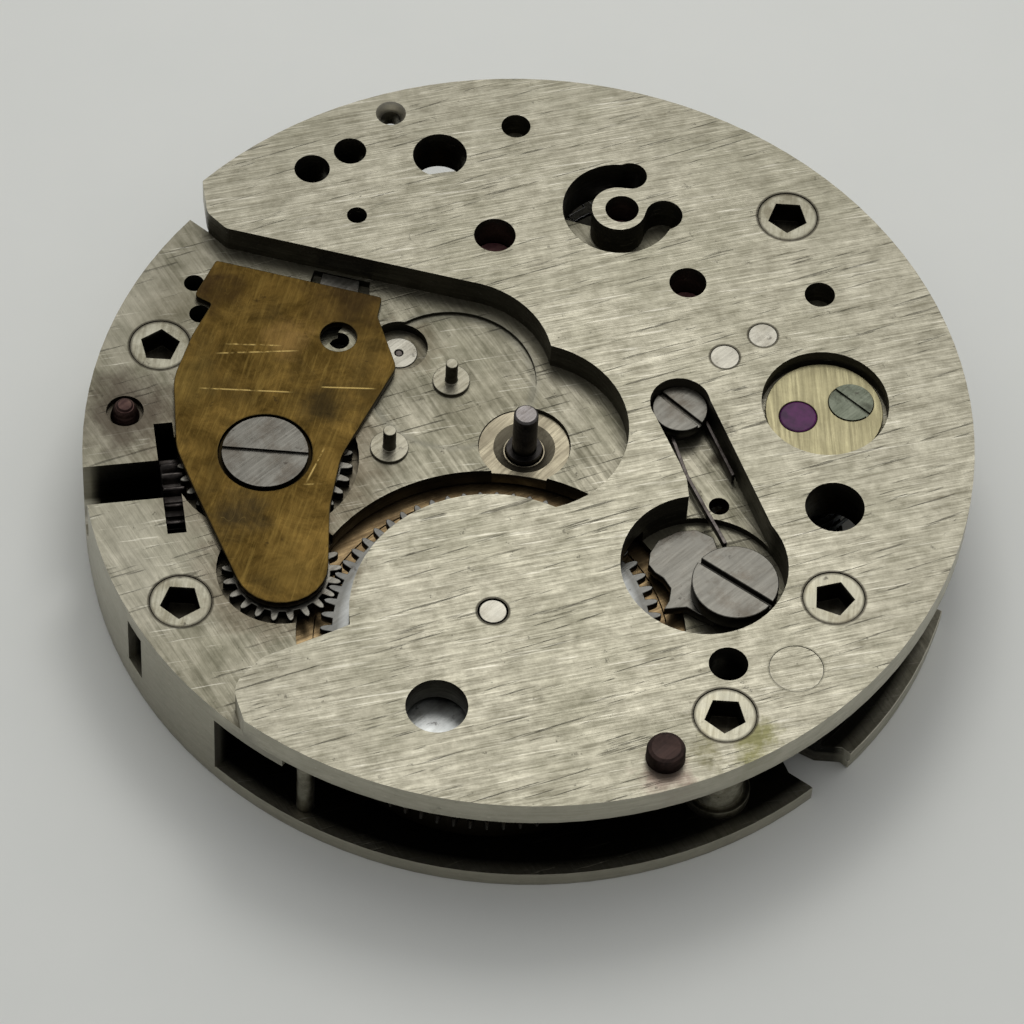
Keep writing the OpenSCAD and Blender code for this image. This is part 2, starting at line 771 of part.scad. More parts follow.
// Grub screw that clamps a foot of the dial, with three turns of its thread above the floor
module dial_foot_screw() {
    color([0.3, 0.22, 0.2]) {
        rod(foot_screw_at, foot_screw_r, z_floor - 1.35, z_floor + 0.2);
        for (i = [0:2])
            translate([foot_screw_at[0], foot_screw_at[1], z_floor - 0.2 + 0.16 * i])
                cylinder(r1 = 0.43 - 0.04 * i, r2 = 0.33 - 0.03 * i, h = 0.14);
        translate([foot_screw_at[0], foot_screw_at[1], z_floor + 0.2])
            cylinder(r1 = foot_screw_r, r2 = foot_screw_r - 0.1, h = 0.12);
    }
}

module locating_stud() {
    color([0.27, 0.24, 0.25])
        rod(locating_stud_at, locating_stud_r, z_flange, z_top + 0.52);
}

module plate_plug() {
    color([0.7, 0.68, 0.62])
        rod(plug_at, plug_r, z_top - plug_h, z_top - 0.01);
}

module banking_pins() {
    color([0.72, 0.71, 0.68])
    for (p = banking_at) {
        rod(p, banking_r, z_fork - 0.1, z_top - banking_head_h);
        rod(p, banking_head_r, z_top - banking_head_h, z_top - 0.01);
    }
}

// Bearings

module centre_bush() {
    color([0.72, 0.66, 0.58])
    difference() {
        rod(centre_at, centre_bush_r, z_ceiling, z_floor - 0.14);
        rod(barrel_at, barrel_bay_r, z_ceiling - 1, z_top);
        rod(centre_at, arbor_collar_r + 0.03, z_ceiling - 1, z_top);
        translate([0, 0, z_floor - 0.3])
            cylinder(r1 = 0.6, r2 = 0.92, h = 0.17);
    }
}

module third_bush() {
    color([0.78, 0.76, 0.7])
        ring(third_at, third_bush_r, pivot_r + pivot_play, z_ceiling, z_ceiling + 0.18);
}

module plate_jewels() {
    color([0.42, 0.2, 0.36]) {
        ring(fourth_at, fourth_jewel_r, pivot_r + pivot_play, z_ceiling + 0.05, z_ceiling + 0.4);
        ring(escape_at, escape_jewel_r, pivot_r + pivot_play, z_ceiling + 0.05, z_ceiling + 0.4);
        ring(pallet_at, pallet_jewel_r, pivot_r + pivot_play, z_ceiling + 0.05, z_ceiling + 0.4);
    }
}

module back_bushes() {
    color([0.72, 0.6, 0.35]) {
        ring(centre_at, back_centre_bush_r, centre_pivot_r + pivot_play, 0, back_t);
        ring(third_at, back_third_bush_r, pivot_r + pivot_play, 0, back_t);
    }
}

module back_jewels() {
    color([0.5, 0.15, 0.3])
    for (p = [fourth_at, escape_at, pallet_at])
        ring(p, back_jewel_r, pivot_r + pivot_play, 0.1, back_t - 0.05);
}

module balance_jewels() {
    color([0.5, 0.15, 0.35]) {
        ring(balance_at, balance_jewel_r, pivot_r + pivot_play, z_ceiling + 0.42, z_cap - 0.1);
        ring(balance_at, cock_jewel_r, pivot_r + pivot_play, 0.05, back_t - 0.05);
    }
}

module cap_plate() {
    color([0.8, 0.77, 0.6])
    difference() {
        rod(cap_at, cap_r, z_cap, z_cap + cap_t);
        rod(balance_at, cap_jewel_r + seat_gap, z_cap - 1, z_top);
        rod(cap_screw_at, cap_screw_r + seat_gap, z_cap - 1, z_top);
        rod(cap_screw_at, cap_screw_head_r + seat_gap, z_cap + 0.12, z_top);
    }
}

module cap_jewel() {
    color([0.38, 0.1, 0.4])
        rod(balance_at, cap_jewel_r, z_cap + 0.02, z_cap + cap_t);
}

module cap_screw() {
    color([0.48, 0.5, 0.45])
        slotted_screw(cap_screw_at, 130, cap_screw_head_r, z_cap + 0.13, 0.16, cap_screw_r,
            z_ceiling + 0.16);
}

// Mainspring barrel

module barrel_drum() {
    color([0.78, 0.66, 0.4])
    difference() {
        union() {
            rod(barrel_at, drum_r, z_drum, z_drum_top);
            slab(z_barrel_teeth, z_drum_top)
                translate(barrel_at)
                    polygon(toothed(barrel_teeth, 0,
                        wheel_tooth(barrel_pitch, 1.05 * barrel_m, 1.4 * barrel_m)));
        }
        rod(barrel_at, drum_r - drum_wall - 0.12, z_drum + 0.2, z_drum_top + 1);
        rod(barrel_at, drum_r - drum_wall, z_drum_top - lid_seat_h, z_drum_top + 1);
        rod(barrel_at, arbor_shaft_r + arbor_play, z_drum - 1, z_drum_top);
    }
}

module barrel_lid() {
    color([0.8, 0.68, 0.42])
        ring(barrel_at, drum_r - drum_wall - seat_gap, arbor_shaft_r + arbor_play,
            z_drum_top - lid_seat_h, z_drum_top - 0.02);
}

module mainspring() {
    color([0.62, 0.64, 0.68])
    slab(z_drum + 0.24, z_drum_top - lid_seat_h - 0.04)
        translate(barrel_at)
            polygon(spiral(core_r + 0.11, drum_r - drum_wall - 0.2, mainspring_turns, 0.1, 24));
}

module barrel_arbor() {
    color([0.62, 0.62, 0.63]) {
        rod(barrel_at, arbor_pivot_r, 0.04, z_top - 0.01);
        rod(barrel_at, arbor_shaft_r, back_t + 0.06, z_winding - 0.05);
        rod(barrel_at, core_r, z_drum + 0.24, z_drum_top - lid_seat_h - 0.04);
        translate([barrel_at[0] - square_w / 2, barrel_at[1] - square_w / 2, z_winding - 0.05])
            cube([square_w, square_w, winding_t + 0.08]);
    }
}

// Winding work

module ratchet_wheel() {
    color([0.6, 0.62, 0.62])
    slab(z_winding, z_winding + winding_t)
        translate(barrel_at)
            difference() {
                polygon(toothed(ratchet_teeth, ratchet_phase,
                    wheel_tooth(ratchet_r, tooth_tip, tooth_root)));
                square(square_w + 2 * seat_gap, center = true);
            }
}

module crown_wheel() {
    color([0.3, 0.29, 0.28])
    slab(z_winding, z_winding + winding_t)
        translate(crown_at)
            difference() {
                polygon(toothed(crown_teeth, crown_phase, wheel_tooth(crown_r, tooth_tip, tooth_root)));
                circle(r = crown_boss_r + boss_play);
            }
}

module intermediate_wheel() {
    color([0.3, 0.29, 0.28])
    slab(z_winding, z_winding + winding_t)
        translate(intermediate_at)
            difference() {
                polygon(toothed(intermediate_teeth, intermediate_phase,
                    wheel_tooth(intermediate_r, tooth_tip, tooth_root)));
                circle(r = intermediate_boss_r + boss_play);
            }
}

// Toothed outline across the stem, with its first tooth at the given phase
module across_stem(x0, x1) {
    translate([x0, 0, z_stem])
        rotate([90, 0, 90])
            linear_extrude(height = x1 - x0)
                children();
}

module winding_pinion() {
    color([0.25, 0.23, 0.22])
    across_stem(9.93, 10.55)
        difference() {
            polygon(toothed(winding_leaves, winding_phase,
                wheel_tooth(winding_pinion_r, tooth_tip, tooth_root)));
            circle(r = 0.45);
        }
}

module sliding_pinion() {
    color([0.35, 0.34, 0.33])
    difference() {
        union() {
            across_stem(8.55, 8.83)
                polygon(toothed(12, 0, leaf_tooth(0.88, 0.12, 0.14)));
            across_stem(8.83, 9.22)
                circle(r = 0.56);
            across_stem(9.22, 9.72)
                circle(r = 1.0);
            across_stem(9.72, 9.84)
                intersection() {
                    circle(r = 1.0);
                    polygon(toothed(8, 0, [[0.5, -0.25], [1.4, -0.25], [1.4, 0.25], [0.5, 0.25]]));
                }
        }
        across_stem(8, 11)
            square(2 * stem_tip_r + 0.04, center = true);
    }
}

// Rocking lever whose finger sits in the groove of the sliding pinion
module yoke() {
    color([0.5, 0.49, 0.47]) {
        slab(z_winding, z_winding + 0.24)
            difference() {
                union() {
                    disc2d(yoke_at, 0.78);
                    polygon([[7.5, -4.5], [8.45, -3.25], [9.2, -3.15], [9.2, -3.5], [8.6, -4.9]]);
                }
                disc2d(yoke_at, yoke_boss_r + boss_play);
            }
        translate([8.89, -3.45, z_stem - 0.14])
            cube([0.27, 0.3, z_winding + 0.1 - z_stem + 0.14]);
        translate([8.89, -3.45, z_stem - 0.14])
            cube([0.27, 2.83, 0.28]);
    }
}

module click() {
    color([0.56, 0.55, 0.53])
    difference() {
        slab(z_winding, z_winding + 0.3) {
            polygon([[-2.93, 4.56], [-3.04, 4.16], [-3.34, 3.76], [-3.96, 3.51], [-4.48, 3.51],
                [-4.95, 3.85], [-5.1, 5.2], [-4.9, 6.5], [-4.5, 6.7], [-4.1, 6.42], [-3.79, 6.15],
                [-3.13, 6.14], [-3.32, 5.88], [-3.44, 5.46], [-3.29, 5.07], [-3.07, 4.85]]);
            disc2d(click_at, 1.05);
        }
        rod(click_at, click_shoulder_r + 0.05, z_winding - 1, z_winding + 1);
    }
}

// Shouldered screw on which the click turns
module click_screw() {
    color([0.56, 0.55, 0.53]) {
        slotted_screw(click_at, 136, 1.25, z_winding + 0.34, 0.5, click_screw_r, z_ceiling + 0.03);
        rod(click_at, click_shoulder_r, z_pocket, z_winding + 0.35);
    }
}

module click_spring() {
    color([0.6, 0.6, 0.62])
    difference() {
        union() {
            rod(click_spring_at, 0.62, z_click_bay + 0.02, z_click_bay + 0.4);
            slab(z_click_bay + 0.14, z_click_bay + 0.4)
                polygon(strip([[-4.35, -0.1], [-4.3, 0.55], [-4.48, 1.8], [-4.82, 3.0],
                    [-5.08, 3.85], [-5.2, 4.3]], 0.11));
            slab(z_click_bay + 0.02, z_click_bay + 0.4)
                polygon(strip([[-5.0, -0.3], [-5.35, -0.05], [-5.58, 0.93], [-5.82, 1.95]], 0.1));
        }
        rod(click_spring_at, click_screw_r + seat_gap, z_ceiling, z_top);
    }
}

module click_spring_screw() {
    color([0.56, 0.55, 0.54])
        slotted_screw(click_spring_at, 128, 0.8, z_click_bay + 0.42, 0.3, click_screw_r,
            z_ceiling + 0.06);
}

// Going train

module centre_wheel() {
    color([0.78, 0.66, 0.4])
    slab(z_centre_wheel, z_centre_wheel + wheel_t)
        crossed_wheel(centre_at, centre_teeth, 0, centre_pitch, 0.13, 0.16, 0.45, 0.95,
            centre_shaft_r + seat_gap, 5, 0.42);
}

// Centre arbor: its long end carries the minute hand's pinion on the dial side
module centre_arbor() {
    m = 2 * centre_leaf_r / pinion_leaves;
    color([0.5, 0.49, 0.5]) {
        slab(z_drum_top - 0.52, z_ceiling - 0.04)
            polygon(toothed(pinion_leaves, centre_leaf_phase,
                leaf_tooth(centre_leaf_r, 0.75 * m, 1.45 * m)));
        rod(centre_at, centre_pivot_r, 0.06, 1);
        rod(centre_at, centre_shaft_r, back_t + 0.05, z_drum_top - 0.4);
        rod(centre_at, arbor_end_r, 1, z_top + 0.5);
        rod(centre_at, arbor_collar_r, z_ceiling - 0.06, z_floor - 0.13);
        translate([0, 0, z_top + 0.5])
            cylinder(r1 = arbor_end_r, r2 = arbor_end_r - 0.06, h = 0.06);
    }
}

module third_wheel() {
    color([0.78, 0.66, 0.4])
    slab(z_third_wheel, z_third_wheel + wheel_t)
        crossed_wheel(third_at, third_teeth, 0, third_pitch, 0.1, 0.14, 0.38, 0.7,
            third_shaft_r + seat_gap, 5, 0.36);
}

module third_pinion() {
    color([0.5, 0.5, 0.52])
        pinion(third_at, pinion_leaves, third_leaf_phase, third_leaf_r, z_third_pinion,
            z_third_pinion + third_pinion_h, third_shaft_r, 0.06, z_ceiling + 0.16);
}

module fourth_wheel() {
    color([0.8, 0.68, 0.42])
    slab(z_fourth_wheel, z_fourth_wheel + wheel_t - 0.02)
        crossed_wheel(fourth_at, fourth_teeth, 0, fourth_pitch, 0.1, 0.13, 0.34, 0.6,
            fourth_shaft_r + seat_gap, 5, 0.32);
}

module fourth_pinion() {
    color([0.5, 0.5, 0.52])
        pinion(fourth_at, pinion_leaves, fourth_leaf_phase, fourth_leaf_r, z_third_wheel - 0.12,
            z_third_wheel + 0.3, fourth_shaft_r, 0.12, z_ceiling + 0.38);
}

module escape_wheel() {
    club = [[escape_r * 0.76, -0.24], [escape_r * 0.87, -0.1], [escape_r * 0.97, 0.0],
        [escape_r, 0.15], [escape_r * 0.86, 0.06], [escape_r * 0.76, 0.04]];
    color([0.68, 0.68, 0.7])
    slab(z_fork + 0.02, z_fork + 0.02 + 0.14)
        translate(escape_at)
            difference() {
                union() {
                    difference() {
                        polygon(toothed(escape_teeth, 0, club));
                        circle(r = escape_r * 0.66);
                    }
                    circle(r = 0.45);
                    for (i = [0:3])
                        rotate(i * 90)
                            translate([0, -0.13])
                                square([escape_r * 0.7, 0.26]);
                }
                circle(r = escape_shaft_r + seat_gap);
            }
}

module escape_pinion() {
    color([0.5, 0.5, 0.52])
        pinion(escape_at, escape_leaves, escape_leaf_phase, escape_leaf_r, z_fourth_wheel - 0.15,
            z_fourth_wheel + 0.32, escape_shaft_r, 0.12, z_ceiling + 0.38);
}

// Lever, staff and pallet stones, drawn along the line from the pallet staff to the escape wheel
module along_pallets() {
    translate(pallet_at)
        rotate(bearing(pallet_at, escape_at))
            children();
}

module stone_2d(side, grow) {
    translate([pallet_reach, side * pallet_span])
        rotate(side * 10)
            translate([-0.42 - grow, -0.06 - grow])
                square([0.42 + 2 * grow, 0.12 + 2 * grow]);
}

module pallet_fork() {
    color([0.6, 0.6, 0.62])
    along_pallets()
        difference() {
            slab(z_fork, z_fork + fork_t) {
                circle(r = 0.42);
                polygon([[0.2, -0.3], [0.62, -1.3], [0.6, -1.6], [0.2, -1.66], [-0.12, -1.2], [-0.3, -0.25],
                    [-0.3, 0.25], [-0.12, 1.2], [0.2, 1.66], [0.6, 1.6], [0.62, 1.3], [0.2, 0.3]]);
                translate([-fork_l + 0.3, -lever_w / 2])
                    square([fork_l - 0.4, lever_w]);
                polygon([[-fork_l + 0.75, -0.19], [-fork_l + 0.2, -0.36], [-fork_l - 0.12, -0.26],
                    [-fork_l - 0.12, 0.26], [-fork_l + 0.2, 0.36], [-fork_l + 0.75, 0.19]]);
            }
            slab(z_fork - 1, z_fork + 1) {
                circle(r = pallet_shaft_r + seat_gap);
                stone_2d(1, seat_gap);
                stone_2d(-1, seat_gap);
                translate([-fork_l - 1, -pin_slot_w / 2])
                    square([1.18, pin_slot_w]);
            }
        }
}

module pallet_stones() {
    color([0.6, 0.15, 0.3])
    slab(z_fork + 0.01, z_fork + fork_t - 0.01)
        along_pallets() {
            stone_2d(1, 0);
            stone_2d(-1, 0);
        }
}

module pallet_staff() {
    color([0.55, 0.55, 0.57]) {
        rod(pallet_at, pallet_shaft_r, back_t + 0.04, z_ceiling - 0.04);
        rod(pallet_at, pivot_r, 0.12, z_ceiling + 0.38);
    }
}

// Balance

module balance_wheel() {
    rim = balance_d / 2;
    color([0.82, 0.7, 0.4])
    slab(z_balance, z_balance + balance_h)
        translate(balance_at)
            rotate(balance_rest)
                difference() {
                    union() {
                        difference() {
                            circle(r = rim);
                            circle(r = rim - 0.5);
                        }
                        circle(r = 0.7);
                        for (i = [0:2])
                            rotate(60 + i * 120)
                                translate([0, -0.2])
                                    square([rim - 0.25, 0.4]);
                    }
                    circle(r = balance_seat_r + seat_gap);
                }
}

module balance_staff() {
    color([0.58, 0.58, 0.6]) {
        rod(balance_at, pivot_r, 0.08, z_cap - 0.03);
        rod(balance_at, balance_shaft_r, back_t + 0.04, z_ceiling + 0.3);
        rod(balance_at, balance_seat_r, z_balance, z_balance + balance_h);
    }
}

module hairspring_collet() {
    color([0.72, 0.6, 0.35])
        ring(balance_at, 0.42, balance_shaft_r + seat_gap, z_hairspring - 0.04,
            z_hairspring + hairspring_h + 0.04);
}

// Roller with the hole of its impulse pin
module roller() {
    color([0.6, 0.6, 0.62])
    difference() {
        ring(balance_at, 0.78, balance_shaft_r + seat_gap, z_roller, z_roller + 0.14);
        rod(balance_at + polar(impulse_r, balance_rest), impulse_pin_r + seat_gap,
            z_roller - 1, z_roller + 1);
    }
}

module impulse_pin() {
    color([0.6, 0.12, 0.25])
        rod(balance_at + polar(impulse_r, balance_rest), impulse_pin_r, z_roller, z_fork + fork_t + 0.02);
}

module hairspring() {
    color([0.35, 0.42, 0.6])
    slab(z_hairspring, z_hairspring + hairspring_h)
        translate(balance_at)
            rotate(180)
                polygon(spiral(0.47, 2.1, hairspring_turns, 0.04, 24));
}

// Stud that holds the outer end of the hairspring on the cock
module hairspring_stud() {
    color([0.6, 0.6, 0.6])
    difference() {
        union() {
            rod(hairspring_stud_at, hairspring_stud_r, 0.06, back_t + 0.05);
            translate([hairspring_stud_at[0] - hairspring_stud_r,
                hairspring_stud_at[1] - hairspring_stud_r, back_t + 0.03])
                cube([0.61, 2 * hairspring_stud_r, 0.5]);
        }
        translate([-10.2, 0.24, z_hairspring - 0.02])
            cube([0.5, 0.14, hairspring_h + 0.04]);
    }
}

// Regulator lever round the balance's lower bearing, with its curb pins
module regulator() {
    color([0.6, 0.6, 0.58])
    translate(balance_at) {
        slab(0.03, 0.18)
            difference() {
                union() {
                    circle(r = 1.35);
                    polygon([[-0.35, 1], [-0.09, 3.45], [0.09, 3.45], [0.35, 1]]);
                    polygon([[-0.2, -1], [-0.24, -2.4], [0.24, -2.4], [0.2, -1]]);
                }
                circle(r = regulator_boss_r + boss_play);
            }
        for (r = [1.93, 2.23])
            rod([0, -r], 0.06, 0.15, z_hairspring + hairspring_h + 0.02);
    }
}

scale(scale_factor) {
    main_plate();
    back_plate();
    balance_cock();
    plate_studs();
    back_screws();
    cock_screw();
    steady_pins();
    keyless_cover();
    cover_screw();
    yoke_spring();
    minute_post();
    setting_post();
    dial_foot_screw();
    locating_stud();
    plate_plug();
    banking_pins();
    centre_bush();
    third_bush();
    plate_jewels();
    back_bushes();
    back_jewels();
    balance_jewels();
    cap_plate();
    cap_jewel();
    cap_screw();
    barrel_drum();
    barrel_lid();
    mainspring();
    barrel_arbor();
    ratchet_wheel();
    crown_wheel();
    intermediate_wheel();
    winding_pinion();
    sliding_pinion();
    yoke();
    click();
    click_screw();
    click_spring();
    click_spring_screw();
    centre_wheel();
    centre_arbor();
    third_wheel();
    third_pinion();
    fourth_wheel();
    fourth_pinion();
    escape_wheel();
    escape_pinion();
    pallet_fork();
    pallet_stones();
    pallet_staff();
    balance_wheel();
    balance_staff();
    hairspring_collet();
    roller();
    impulse_pin();
    hairspring();
    hairspring_stud();
    regulator();
}
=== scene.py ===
"""Looks of the watch movement: nickelled plates showing wear, aged brass, steel winding work,
jewels.
"""
import json
import math

import bmesh
import bpy
from mathutils import Matrix, Vector


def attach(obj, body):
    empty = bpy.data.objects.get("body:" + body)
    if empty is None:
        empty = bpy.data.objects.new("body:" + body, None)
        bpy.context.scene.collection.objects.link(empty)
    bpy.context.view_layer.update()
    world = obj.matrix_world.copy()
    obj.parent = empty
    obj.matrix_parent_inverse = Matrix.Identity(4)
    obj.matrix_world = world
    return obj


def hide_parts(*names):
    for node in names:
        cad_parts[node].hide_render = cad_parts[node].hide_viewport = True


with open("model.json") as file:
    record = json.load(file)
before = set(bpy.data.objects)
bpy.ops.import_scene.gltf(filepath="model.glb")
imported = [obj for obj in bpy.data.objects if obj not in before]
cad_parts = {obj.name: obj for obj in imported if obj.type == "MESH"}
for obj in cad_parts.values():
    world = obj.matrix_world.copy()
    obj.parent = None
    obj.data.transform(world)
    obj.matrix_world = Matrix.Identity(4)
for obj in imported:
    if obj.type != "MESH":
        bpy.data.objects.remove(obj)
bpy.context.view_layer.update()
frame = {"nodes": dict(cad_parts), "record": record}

MM = 0.001

# Level of the recess floor in the main plate, in millimetres
Z_FLOOR = 3.58

# Radius inside which the plates' walls are hollow and painted in shade, in millimetres
HOLLOW_R = 12.6

# Places in plan, in millimetres
CENTRE = (0, 0)
BARREL_AT = (1.84, 6.32)
CROWN_AT = (7.52, -0.42)
INTERMEDIATE_AT = (7.5, 3.55)
THIRD_AT = (3.14, -4.03)
BANKING_PINS_AT = ((-6.14, -1.79), (-7.38, -2.44))
PLUG_AT = (-6.35, 9.25)

# Plate studs with five-sided sockets: centre and level of the head
STUDS = [((10.11, -4.81), 3.57), ((10.48, 4.31), 3.57), ((-8.85, -6.73), 4.51),
         ((-4.11, 10.55), 4.51), ((-7.82, 7.0), 4.51)]

# Directions in the plane of the plate, in degrees from +X
BRUSH_TOP = 6.0
BRUSH_FLOOR = 113.0
BRUSH_COVER = 67.0

# Colour of the painted shade in walls and hollows
PAINTED_SHADE = "0B0A08"

# How far the noise may stray from 0.5 inside a hair scratch
HAIR_WIDTH = 0.002

# Vertices nearer than this are one, in metres
MERGE_DISTANCE = 2e-7

# Angles between faces, in degrees: joined below, bevelled from, shaded smooth below
COPLANAR = 0.6
BEVEL_FROM = 35
SMOOTH_BELOW = 32

# Faces whose normal is at least this upright stay flat shaded
LEVEL_NORMAL = 0.9999


# Camera

def add_camera():
    """A long lens that looks down on the dial side from twelve o'clock, rolled a little."""
    azimuth, elevation, roll = math.radians(79), math.radians(54.583), math.radians(3.545)
    distance = 163.13 * MM
    target = Vector((0.209, -0.171, 0)) * MM
    outward = Vector((math.cos(azimuth) * math.cos(elevation),
                      math.sin(azimuth) * math.cos(elevation),
                      math.sin(elevation)))
    level = Vector((-math.sin(azimuth), math.cos(azimuth), 0))
    above = outward.cross(level)
    right = level * math.cos(roll) + above * math.sin(roll)
    up = above * math.cos(roll) - level * math.sin(roll)
    turn = Matrix((right, up, outward)).transposed()
    data = bpy.data.cameras.new("camera")
    data.lens = 193.97
    data.sensor_width = 36
    data.clip_start = 0.005
    data.clip_end = 20
    camera = bpy.data.objects.new("camera", data)
    camera.matrix_world = Matrix.Translation(target + outward * distance) @ turn.to_4x4()
    bpy.context.scene.collection.objects.link(camera)
    bpy.context.scene.camera = camera


# Node helpers

class Nodes:
    """A short way to write a node tree: add a node, set its inputs, link sockets."""

    def __init__(self, tree):
        self.tree = tree

    def add(self, kind, inputs=None, **settings):
        node = self.tree.nodes.new(kind)
        for key, value in settings.items():
            setattr(node, key, value)
        for key, value in (inputs or {}).items():
            socket = node.inputs[key]
            if isinstance(value, bpy.types.NodeSocket):
                self.tree.links.new(value, socket)
            else:
                socket.default_value = value
        return node

    def math(self, operation, a, b=0.0):
        return self.add("ShaderNodeMath", {0: a, 1: b}, operation=operation).outputs[0]

    def ramp(self, value, low, high, to_low=0.0, to_high=1.0):
        node = self.add("ShaderNodeMapRange", {"Value": value, "From Min": low, "From Max": high,
                                               "To Min": to_low, "To Max": to_high})
        node.clamp = True
        return node.outputs["Result"]

    def mix(self, factor, a, b):
        node = self.add("ShaderNodeMix", data_type="RGBA")
        for key, value in ((0, factor), (6, a), (7, b)):
            if isinstance(value, bpy.types.NodeSocket):
                self.tree.links.new(value, node.inputs[key])
            else:
                node.inputs[key].default_value = value
        return node.outputs[2]


def rgb(code):
    """Linear colour of an sRGB code such as B5B1A0."""
    out = []
    for i in (0, 2, 4):
        c = int(code[i:i + 2], 16) / 255
        out.append(c / 12.92 if c <= 0.04045 else ((c + 0.055) / 1.055) ** 2.4)
    return (*out, 1.0)


def new_group(name, inputs, outputs):
    group = bpy.data.node_groups.new(name, "ShaderNodeTree")
    for key, kind in inputs:
        group.interface.new_socket(key, in_out="INPUT", socket_type=kind)
    for key, kind in outputs:
        group.interface.new_socket(key, in_out="OUTPUT", socket_type=kind)
    n = Nodes(group)
    return group, n, n.add("NodeGroupInput"), n.add("NodeGroupOutput")


FLOAT, VECTOR = "NodeSocketFloat", "NodeSocketVector"


def lines_group():
    """Fine lines along one direction, a little wavy: brushing."""
    group, n, given, out = new_group(
        "lines", [("Point", VECTOR), ("Angle", FLOAT), ("Along", FLOAT), ("Across", FLOAT)],
        [("Value", FLOAT)])
    turned = n.add("ShaderNodeVectorRotate", {"Vector": given.outputs["Point"],
                                              "Angle": given.outputs["Angle"]},
                   rotation_type="Z_AXIS")
    scale = n.add("ShaderNodeCombineXYZ", {0: given.outputs["Along"], 1: given.outputs["Across"],
                                           2: given.outputs["Across"]})
    stretched = n.add("ShaderNodeVectorMath", {0: turned.outputs[0], 1: scale.outputs[0]},
                      operation="MULTIPLY")
    noise = n.add("ShaderNodeTexNoise", {"Vector": stretched.outputs[0], "Scale": 1.0,
                                         "Detail": 3.0, "Roughness": 0.6, "Distortion": 0.35})
    group.links.new(noise.outputs["Fac"], out.inputs["Value"])
    return group


def hairs_group():
    """Thin broken scratches near one direction, drawn as contour lines of a stretched noise."""
    group, n, given, out = new_group(
        "hairs", [("Point", VECTOR), ("Angle", FLOAT), ("Width", FLOAT)], [("Value", FLOAT)])
    total = None
    for turn, along, across, shift in ((0.0, 0.2, 1.5, 3.0), (0.14, 0.3, 2.1, 17.0),
                                       (-0.22, 0.25, 1.2, 31.0)):
        angle = n.math("ADD", given.outputs["Angle"], turn)
        turned = n.add("ShaderNodeVectorRotate",
                       {"Vector": given.outputs["Point"], "Angle": angle},
                       rotation_type="Z_AXIS")
        stretched = n.add("ShaderNodeVectorMath",
                          {0: turned.outputs[0], 1: (along, across, across)},
                          operation="MULTIPLY")
        moved = n.add("ShaderNodeVectorMath", {0: stretched.outputs[0], 1: (shift, shift, shift)},
                      operation="ADD")
        wave = n.add("ShaderNodeTexNoise",
                     {"Vector": moved.outputs[0], "Scale": 1.0, "Detail": 1.0})
        off = n.math("ABSOLUTE", n.math("SUBTRACT", wave.outputs["Fac"], 0.5))
        near = n.add("ShaderNodeVectorMath",
                     {0: given.outputs["Point"], 1: (shift, shift, shift)}, operation="ADD")
        gaps = n.add("ShaderNodeTexNoise",
                     {"Vector": near.outputs[0], "Scale": 0.8, "Detail": 1.0})
        thin = n.ramp(n.math("SUBTRACT", off, given.outputs["Width"]), 0.0, -0.006)
        one = n.math("MULTIPLY", thin, n.ramp(gaps.outputs["Fac"], 0.5, 0.6))
        total = one if total is None else n.math("MAXIMUM", total, one)
    group.links.new(total, out.inputs["Value"])
    return group


LINES = lines_group()
HAIRS = hairs_group()


